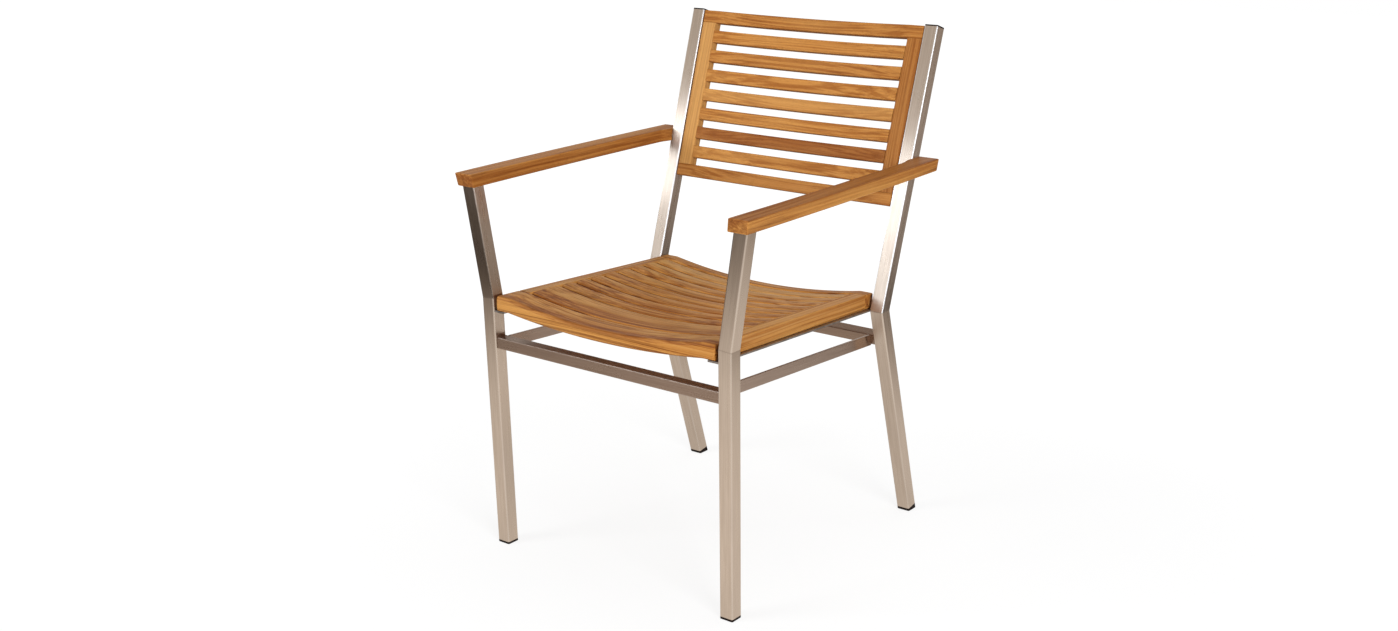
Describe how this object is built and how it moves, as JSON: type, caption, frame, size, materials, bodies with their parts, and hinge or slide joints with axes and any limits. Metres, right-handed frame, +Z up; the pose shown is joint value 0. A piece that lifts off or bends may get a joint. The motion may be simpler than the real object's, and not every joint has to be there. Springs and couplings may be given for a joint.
{
  "type": "dining armchair",
  "caption": "Dining armchair with a mitred square-tube steel frame, a dished slatted teak seat, a bowed slatted teak back and teak armrests.",
  "frame": {"origin": "centre of the chair's box at floor level", "axes": "+Z up, -Y the way the sitter faces, +X the sitter's left"},
  "size_m": [0.5924, 0.626, 0.8826],
  "materials": {
    "frame_steel": "brushed stainless steel, warm grey",
    "fixing_steel": "plain stainless steel",
    "black_plastic": "matt black moulded plastic",
    "seat_teak": "oiled golden teak, grain along each slat",
    "back_teak": "oiled golden teak, grain along each slat",
    "arm_teak": "oiled teak, a little darker on top"
  },
  "bodies": {
    "root": {"arm_post_left": "frame_steel", "arm_post_right": "frame_steel", "arm_screws": "fixing_steel", "arm_studs": "fixing_steel", "armrest_left": "arm_teak", "armrest_right": "arm_teak", "back_bottom_rail": "back_teak", "back_screws": "fixing_steel", "back_slat_1": "back_teak", "back_slat_2": "back_teak", "back_slat_3": "back_teak", "back_slat_4": "back_teak", "back_slat_5": "back_teak", "back_slat_6": "back_teak", "back_slat_7": "back_teak", "back_stile_left": "back_teak", "back_stile_right": "back_teak", "back_tabs": "frame_steel", "back_top_rail": "back_teak", "back_upright_left": "frame_steel", "back_upright_right": "frame_steel", "front_foot_left": "black_plastic", "front_foot_right": "black_plastic", "front_leg_left": "frame_steel", "front_leg_right": "frame_steel", "front_rail": "frame_steel", "post_insert_left": "fixing_steel", "post_insert_right": "fixing_steel", "rear_foot_left": "black_plastic", "rear_foot_right": "black_plastic", "rear_leg_left": "frame_steel", "rear_leg_right": "frame_steel", "rear_rail": "frame_steel", "seat_bearer_left": "frame_steel", "seat_bearer_right": "frame_steel", "seat_front_slat": "seat_teak", "seat_rear_slat": "seat_teak", "seat_screws": "fixing_steel", "seat_side_left": "seat_teak", "seat_side_right": "seat_teak", "seat_slat_1": "seat_teak", "seat_slat_2": "seat_teak", "seat_slat_3": "seat_teak", "seat_slat_4": "seat_teak", "seat_slat_5": "seat_teak", "seat_slat_6": "seat_teak", "seat_slat_7": "seat_teak", "seat_slat_8": "seat_teak", "seat_slat_9": "seat_teak", "side_rail_left": "frame_steel", "side_rail_right": "frame_steel", "upright_cap_left": "black_plastic", "upright_cap_right": "black_plastic"}
  },
  "joints": []
}
